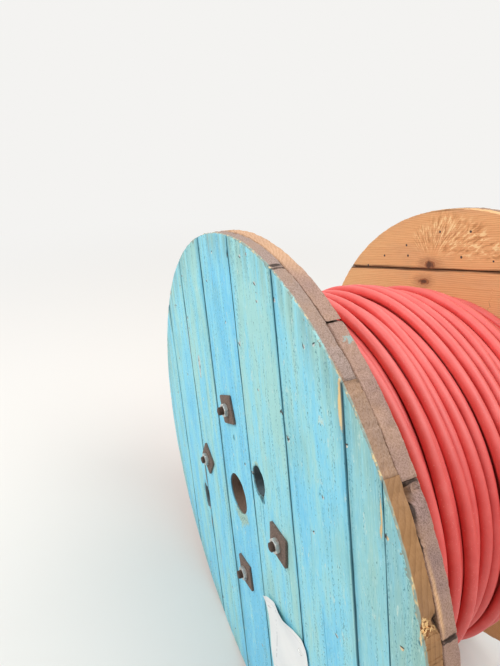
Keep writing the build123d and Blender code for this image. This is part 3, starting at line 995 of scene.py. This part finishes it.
def turnRuns(s):
    # the last layer: every second turn lies low, and the ones between rest on the nearer low one, so
    # they climb above it by the root of the diameter squared less the sideways distance squared
    d, steps = s["diameter"], s["steps"]
    angle = math.radians(s["crossFrom"]) + 2 * math.pi * np.arange(steps) / steps
    across = spreadTurns(s, angle)
    apart = np.diff(across, axis=0)
    beside = np.minimum(np.concatenate([apart[:1], apart]), np.concatenate([apart, apart[-1:]]))
    climb = np.sqrt((d ** 2 - beside ** 2).clip(0))
    climb[1::2] = 0
    skip = int(s["crossShare"] * steps)
    # a run crosses two places at a time: from one turn of its own to the next
    ease = eased((np.arange(skip) / skip)[None, :])
    runs = []
    for name, first in (("cable_high_turns", 0), ("cable_low_turns", 1)):
        y, up = across[first::2].copy(), climb[first::2]
        y[1:, :skip] = y[:-1, -1:] * (1 - ease) + y[1:, skip:skip + 1] * ease
        turn = (angle[None, :] + 2 * math.pi * np.arange(len(y))[:, None]).ravel()[skip:]
        y, up = smoothRun(y.ravel()[skip:], 9), smoothRun(up.ravel()[skip:], 15)
        # both ends dip below the layer's surface over a tenth of a turn
        end = np.minimum(np.arange(len(y)), len(y) - 1 - np.arange(len(y))) / steps
        radius = lowTurns(s, y) - d / 2 + up - s["dip"] * (1 - (end / 0.1).clip(0, 1)) ** 2
        runs.append((name, y, radius + s["waver"] * ripple(turn[:, None], 0.9, len(name)), turn, s["sides"]))
    return runs


def addCable(s, sheath):
    d, half, rise = s["diameter"], s["halfWidth"], s["diameter"] * math.sqrt(3) / 2
    count = int(2 * half / d)
    # the layer below the last, wound the other way
    w = np.arange(0, count - 1, 1 / s["innerSteps"])
    y = -half + d / 2 + (2 * half - d) * w / (count - 1)
    lower = ("cable_lower_layer", y, lowTurns(s, y) - d / 2 - rise, -2 * math.pi * w, s["innerSides"])
    for name, y, radius, turn, sides in [*turnRuns(s), lower]:
        outward = stacked(np.cos(turn), 0, np.sin(turn))
        centre = outward * radius[:, None] + np.array([0, 0, flange["centre"]])
        centre[:, 1] = y
        points = ringsAlong(centre, sides, d / 2, outward, stacked(0 * turn, 1, 0))
        piece = addTube(name, points, sheath, ["cable_winding"], 60)
        # about the metres along the cable and round it
        along = np.abs(turn * s["layReach"])[:, None]
        around = (np.arange(sides) / sides * s["layRound"])[None, :]
        keepVectors(piece, "lay", (along, around, 0.0))
    # the layers further in, as one ring with a groove for each turn
    turn = circle(s["innerSteps"])
    edge = np.linspace(-half + 0.1 * mm, half - 0.1 * mm, 2 * count + 1)
    crest = lowTurns(s, edge) - d / 2 - rise + s["groove"] * np.cos(np.arange(2 * count + 1) * math.pi)
    y = np.concatenate([edge[:1], edge, edge[-1:]])[:, None]
    r = np.concatenate([[s["bore"]], crest, [s["bore"]]])[:, None]
    points = roundPoints(0, flange["centre"], r, y, turn)
    faces = gridFaces(*points.shape[:2], closedRows=True, closedColumns=True)
    piece = addPiece("cable_inner_layers", points, faces, sheath, ["cable_winding"], 50)
    keepVectors(piece, "lay", np.zeros((3, len(piece.data.vertices))))


addCable(cable, sheathFinish())

print("tie rods, nuts and plates")
fastening = {
    "rod": 16 * mm, "pitch": 2 * mm, "threadDeep": 1.1 * mm, "threaded": 44 * mm, "rodSides": 24,
    "nearEnds": [-309.5, -306.5, -309, -307], "farEnds": [306.5, 309.5, 307, 309],
    "endLength": 1.2 * mm, "endDeep": 1.6 * mm,
    "face": 288 * mm, "plate": 54 * mm, "plateThick": 5 * mm, "plateCorner": 1.36, "plateHole": 9 * mm,
    "nearTurns": [37, -18, 25, 14], "farTurns": [8, 30, -12, 41],
    # the plate's section in millimetres, as (radius, height off the boards) at its hole, and from
    # there as (in from the edge, height off the boards) round to its back
    "plateInside": [(8.6, 0.05), (8.6, 4.6), (9.0, 5), (16, 5)],
    "plateEdge": [(1, 4.9), (0.3, 4.6), (0, 4), (0, 1), (0.3, 0.3), (1, 0.05)],
    "nut": 24 * mm, "nutHeight": 8 * mm, "nutTurns": [12, 47, 5, 31],
    "coneStart": 0.985, "coneSlope": 1.75, "cornerCut": 0.88,
    "nutRows": [0.0, 0.35, 0.8, 1.4, 2.2, 4.0, 5.8, 6.6, 7.2, 7.65, 8.0],
}


def steelFinish(name, patch, grain, rustShare, steel, rusts):
    # hot-rolled or zinc-plated steel left outdoors: bright where rubbed, brown where the rust has taken
    material, node = newMaterial(name)
    place = node("coordinates")
    broad = node("noise", place, 1 / patch, 6.0, 0.65)
    fine = node("noise", place, 1 / grain, 4.0, 0.7)
    rust = node("step", node("+", broad, fine), 1 - rustShare, 1.12 - rustShare)
    brown = node("ramp", fine, stops=[*zip((0.3, 0.5, 0.72), rusts)])
    colour = node("blend", rust, steel, brown)
    metal = node("range", rust, 0.0, 1.0, 0.85, 0.05)
    rough = node("range", rust, 0.0, 1.0, 0.38, 0.82)
    finishMaterial(node, {"Base Color": colour, "Metallic": metal, "Roughness": rough},
                   [(fine, 0.35), (broad, 0.2)], 0.8 * mm)
    return material


plateSteel = steelFinish(
    "rusted hot-rolled steel plate", patch=18 * mm, grain=2 * mm, rustShare=0.36,
    steel="#7B7875", rusts=["#4C403A", "#715E54", "#8B7567"])
nutSteel = steelFinish(
    "zinc-plated steel nut, weathered", patch=9 * mm, grain=1.6 * mm, rustShare=-0.1,
    steel="#D2D1CD", rusts=["#5F4A3E", "#86695A", "#A08873"])
rodSteel = steelFinish(
    "dark rusted threaded steel", patch=12 * mm, grain=1.4 * mm, rustShare=0.25,
    steel="#5F5B58", rusts=["#332823", "#4F3C32", "#6F5343"])
nailSteel = steelFinish(
    "wire nail steel, rusted", patch=10 * mm, grain=1.2 * mm, rustShare=0.1,
    steel="#4F4A46", rusts=["#332B27", "#4A3F39", "#6A5B51"])


def polygonReach(turn, corners, across, start):
    # distance to the side of a regular polygon: half its width over the cosine of the angle off the
    # side's middle
    part = 2 * math.pi / corners
    off = (turn - start + part / 2) % part - part / 2
    return across / 2 / np.cos(off)


def addTurned(name, x, z, profile, sides, shape, material, sharp):
    # a closed profile of (radius, y) carried round; shape(radius, angle, y) may change the radius
    turn = circle(sides)
    profile = np.array(profile, float)
    y = profile[:, 1:]
    r = shape(profile[:, :1] + 0 * turn, turn, y)
    faces = gridFaces(len(profile), sides, closedRows=True, closedColumns=True)
    node = name.rsplit("_", 1)[0]
    addPiece(name, roundPoints(x, z, r, y, turn), faces, material, [node], sharp)


def addRod(s, index, x, z):
    # threaded at each end: radius less the thread's depth times a triangle wave of the pitch
    near, far = s["nearEnds"][index] * mm, s["farEnds"][index] * mm
    step = s["pitch"] / 4
    first = near + np.arange(0, s["threaded"], step)
    last = far - np.arange(0, s["threaded"], step)[::-1]
    plain = np.linspace(first[-1] + 4 * mm, last[0] - 4 * mm, 9)
    y = np.concatenate([[near, near + s["endLength"]], first[3:], plain, last[:-3],
                        [far - s["endLength"], far]])[:, None]
    turn = circle(s["rodSides"])
    wave = np.abs(((y / s["pitch"] - turn / 2 / math.pi) % 1) * 2 - 1)
    onThread = (y < first[-1] + step) | (y > last[0] - step)
    r = s["rod"] / 2 - s["threadDeep"] * wave * onThread - np.where((y == near) | (y == far), s["endDeep"], 0)
    addTube(f"tie_rod_{index + 1}_threaded", roundPoints(x, z, r, y, turn), rodSteel,
            [f"tie_rod_{index + 1}"], 50)


def addPlate(s, end, side, index, x, z):
    wide, lean = s["plate"] / 2, math.radians(s[end + "Turns"][index])

    def plateShape(r, turn, y):
        # a square with its corners cut: the lesser of the square's and the corner's reach
        full = polygonReach(turn, 4, s["plate"], lean)
        cut = polygonReach(turn, 4, s["plate"] * s["plateCorner"], lean + math.pi / 4)
        worn = 1 + 0.006 * ripple(stacked(np.cos(turn) + 0 * y, np.sin(turn)), 0.7, index + 60)
        return np.where(r > s["plateHole"], r / wide * np.minimum(full, cut) * worn, r)

    profile = [(r * mm, up * mm) for r, up in s["plateInside"]]
    profile += [(wide - back * mm, up * mm) for back, up in s["plateEdge"]]
    profile = [(r, side * s["face"] + side * up) for r, up in profile]
    addTurned(f"{end}_plate_{index + 1}_rusty", x, z, profile, 96, plateShape, plateSteel, 40)


def addNut(s, end, side, index, x, z):
    seat = side * s["face"] + side * s["plateThick"]
    turned = math.radians(s["nutTurns"][(index + (side > 0)) % 4])
    high, flat, bore = s["nutHeight"], s["nut"], s["rod"] / 2

    def nutShape(r, turn, y):
        # hexagon cut by a 30 degree cone at both ends
        up = np.abs(y - seat)
        cone = flat / 2 * s["coneStart"] + np.minimum(up, high - up) * s["coneSlope"]
        hexagon = np.minimum(polygonReach(turn, 6, flat, turned), flat / 2 / s["cornerCut"])
        return np.where(r > bore + 1.2 * mm, r / (flat / 2) * np.minimum(hexagon, cone), r)

    profile = [(bore - 0.2 * mm, 0.6 * mm), (bore + 1.0 * mm, 0.02 * mm)]
    profile += [(flat / 2, up * mm) for up in s["nutRows"]]
    profile += [(bore + 1.0 * mm, high), (bore - 0.2 * mm, high - 0.6 * mm)]
    profile = [(r, seat + side * up) for r, up in profile]
    addTurned(f"{end}_nut_{index + 1}_weathered", x, z, profile, 72, nutShape, nutSteel, 24)


for index, angle in enumerate(rods["turns"]):
    x = rods["circle"] * mm * math.cos(math.radians(angle))
    z = flange["centre"] + rods["circle"] * mm * math.sin(math.radians(angle))
    addRod(fastening, index, x, z)
    for end, side in (("near", -1), ("far", 1)):
        addPlate(fastening, end, side, index, x, z)
        addNut(fastening, end, side, index, x, z)

print("label")
label = {
    "left": 97, "right": 242, "bottom": -358, "face": -288.5 * mm, "across": 60, "along": 84,
    "front": 0.45, "back": 0.1,
    # the top edge and how far it stands off the boards, each by its share of the way across
    "edge": [(0, -154), (0.08, -147), (0.25, -142), (0.5, -140), (0.75, -138), (0.92, -137), (1, -144)],
    "lift": [(0, 7), (0.1, 4), (0.25, 2.5), (0.42, 7), (0.56, 8), (0.74, 2.5), (0.9, 1), (1, 2.5)],
}
# a squared hoop of wire: (along, height) in millimetres, and where each one stands with its turn
staple = {
    "path": [(-5.5, 0.0), (-5.5, 1.0), (-4.8, 1.8), (0, 2.0), (4.8, 1.8), (5.5, 1.0), (5.5, 0.0)],
    "lift": 3.2, "wire": 0.65 * mm, "sides": 8, "at": [(112, -166, 0.5), (222, -164, -0.4)],
}


def labelFinish():
    # plain white paper in a clear polythene sleeve: white, slightly glossy, a seam, and faint creases whose
    # fold shade is painted as a dashed dark line
    material, node = newMaterial("white paper in a clear sleeve")
    parts = node("split", node("attribute", attribute_name="sheet"))
    place = node("coordinates")
    cloud = node("noise", place, 26.0, 4.0)
    white = node("ramp", cloud, stops=[(0.3, "#F4F5F6"), (0.6, "#FCFCFB")])

    def lineAt(value, at, half):
        return node("step", node("size", node("-", value, at)), half, half * 0.4)

    seam = lineAt(parts[1], 0.011, 0.0007)
    slanted = node("times and plus", parts[1], 0.19, parts[0])
    dash = node("above", node("noise", place, 130.0, 1.0), 0.5)
    # the shade of the crease's fold, painted as a dashed dark line
    creaseShade = node("*", lineAt(slanted, 0.0428, 0.0011), dash)
    dark = node("max", node("*", seam, 0.3), node("*", creaseShade, 0.6))
    colour = node("blend", dark, white, "#5B5F68")
    inputs = {"Base Color": colour, "Roughness": 0.32, "Coat Weight": 0.25, "Coat Roughness": 0.2}
    finishMaterial(node, inputs, [(cloud, 0.25)], 2 * mm)
    return material


def addLabel(s):
    # a sheet over a grid: it lifts in soft waves along its top edge and at the left, and lies flat below
    u = np.linspace(0, 1, s["across"] + 1)[None, :]
    v = np.linspace(0, 1, s["along"] + 1)[:, None]
    n = s["left"] + (s["right"] - s["left"]) * u + 0 * v
    top = smoothRun(np.interp(u[0], *np.array(s["edge"]).T), 7)[None, :]
    raised = smoothRun(np.interp(u[0], *np.array(s["lift"]).T), 7)[None, :]
    t = top + (s["bottom"] - top) * v
    atLeft = 2.0 * np.exp(-((u - 0.02) / 0.05) ** 2) * (0.5 + 0.5 * np.sin(v * 13)) * v
    lift = raised * np.exp(-v * 10) + 0.8 * (1 + ripple(np.stack([n, t], -1), 90, 71)) + atLeft
    layer = {**layers["near_outer"], "face": s["face"]}
    sheets = [toWorld(layer, n * mm, t * mm, -(lift + s[side]) * mm) for side in ("front", "back")]
    rows, columns = n.shape
    border = borderOf(rows, columns)
    faces = gridFaces(rows, columns) + gridFaces(rows, columns, start=n.size)
    faces += bandFaces(np.stack([border, border + n.size]))
    piece = addPiece("paper_label", sheets, faces, labelFinish(), ["paper_sheet"], 60)
    places = ((n - s["left"]) * mm, (top - t) * mm, 0 * n)
    keepVectors(piece, "sheet", [np.tile(part.ravel(), 2) for part in places])
    for index, (a, b, turn) in enumerate(staple["at"]):
        along, height = np.array(staple["path"]).T
        centre = toWorld(layer, (a + along * math.cos(turn)) * mm, (b + along * math.sin(turn)) * mm,
                         -(height + staple["lift"]) * mm)
        points = strandAlong(centre, staple["sides"], staple["wire"], (0.0, 0.3, 1.0))
        addTube(f"label_staple_{index + 1}", points, nutSteel, [], 50)


addLabel(label)

print("nails, fibres, staves")
# rings of (share of the half width, height) in millimetres; along a tip, half the slit's length counts
headRings = [(1.0, -0.7), (1.0, 0.1), (0.88, 0.3), (0.4, 0.34)]
nailHead = {"rings": headRings, "across": 3.0, "along": 3.0, "slit": 0}
nailTip = {"rings": [(1.0, -0.7), (0.95, 0.1), (0.6, 0.4)], "across": 0.75, "along": 0, "slit": 0.8}
nailSides = 12


def addNails(name, layerName, spots, form):
    # a head is a low round disc, and a clenched tip a narrow bar that lies along its own direction;
    # both are placed by the directions of the outer boards
    layer = {**layers[layerName], "crosswise": False}
    turn = circle(nailSides)[0]
    points, faces = [], []
    for a, b, size, lean in spots:
        lean = math.radians(lean)
        faces += tubeFaces(len(form["rings"]), nailSides, nailSides * len(points))
        for scale, height in form["rings"]:
            x = form["across"] * scale * np.cos(turn)
            y = (form["along"] + form["slit"] * size) * scale * np.sin(turn)
            points.append(toWorld(layer, (a + x * math.cos(lean) - y * math.sin(lean)) * mm,
                                  (b + x * math.sin(lean) + y * math.cos(lean)) * mm, -height * mm))
    addPiece(name, points, faces, nailSteel, [], 50)


nearSpots = [n for n in nails if np.hypot(n[0], n[1]) < 488]
addNails("near_clenched_tips", "near_outer", nearSpots, nailTip)
addNails("far_clenched_tips", "far_outer", farSpots, nailTip)
addNails("near_nail_heads", "near_inner", nearSpots, nailHead)
addNails("far_nail_heads", "far_inner", farSpots, nailHead)

fibres = {
    "count": 9, "at": (104, 59), "apart": 3.2, "length": (8, 17), "sway": (-4, 4), "lift": (0.6, 2.2),
    "thick": 0.75, "thinner": 0.55, "sides": 6, "seed": 8,
}


def plainWood(name, pale, dark):
    # sawn pine seen small or in the dark: fine bands along the drum's axis
    material, node = newMaterial(name)
    grain = node("noise", node("stretch", node("coordinates"), (240, 12, 240)), 1.0, 4.0)
    colour = node("ramp", grain, stops=[(0.35, dark), (0.65, pale)])
    finishMaterial(node, {"Base Color": colour, "Roughness": 0.8}, [(grain, 0.4)], 0.5 * mm)
    return material


def addFibres(s, wood):
    # torn fibres over the drive hole's lower lip: each strand droops as the square of its length and
    # thins to a point
    draw = np.random.default_rng(s["seed"])
    share = np.linspace(0, 1, 8)
    for index in range(s["count"]):
        a = s["at"][0] + s["apart"] * index + draw.uniform(-1, 1)
        b = s["at"][1] + draw.uniform(-2, 1)
        long, sway, lift = draw.uniform(*s["length"]), draw.uniform(*s["sway"]), draw.uniform(*s["lift"])
        across, along = a + sway * share ** 2, b + 3 * share - long * share ** 2
        height = lift * 4 * share * (1 - share) + 0.3
        centre = toWorld(layers["near_outer"], across * mm, along * mm, -height * mm)
        thick = (s["thick"] - s["thinner"] * share)[:, None, None] * mm
        points = strandAlong(centre, s["sides"], thick, (0.0, 1.0, 0.0))
        addTube(f"drive_hole_fibre_{index + 1}", points, wood, [], 60)


addFibres(fibres, plainWood("torn pine fibres", "#8FB4B6", "#4E5E5C"))
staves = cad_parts["barrel_staves"]
staves.data.materials.clear()
staves.data.materials.append(plainWood("sawn pine staves", "#C79A6B", "#93683F"))
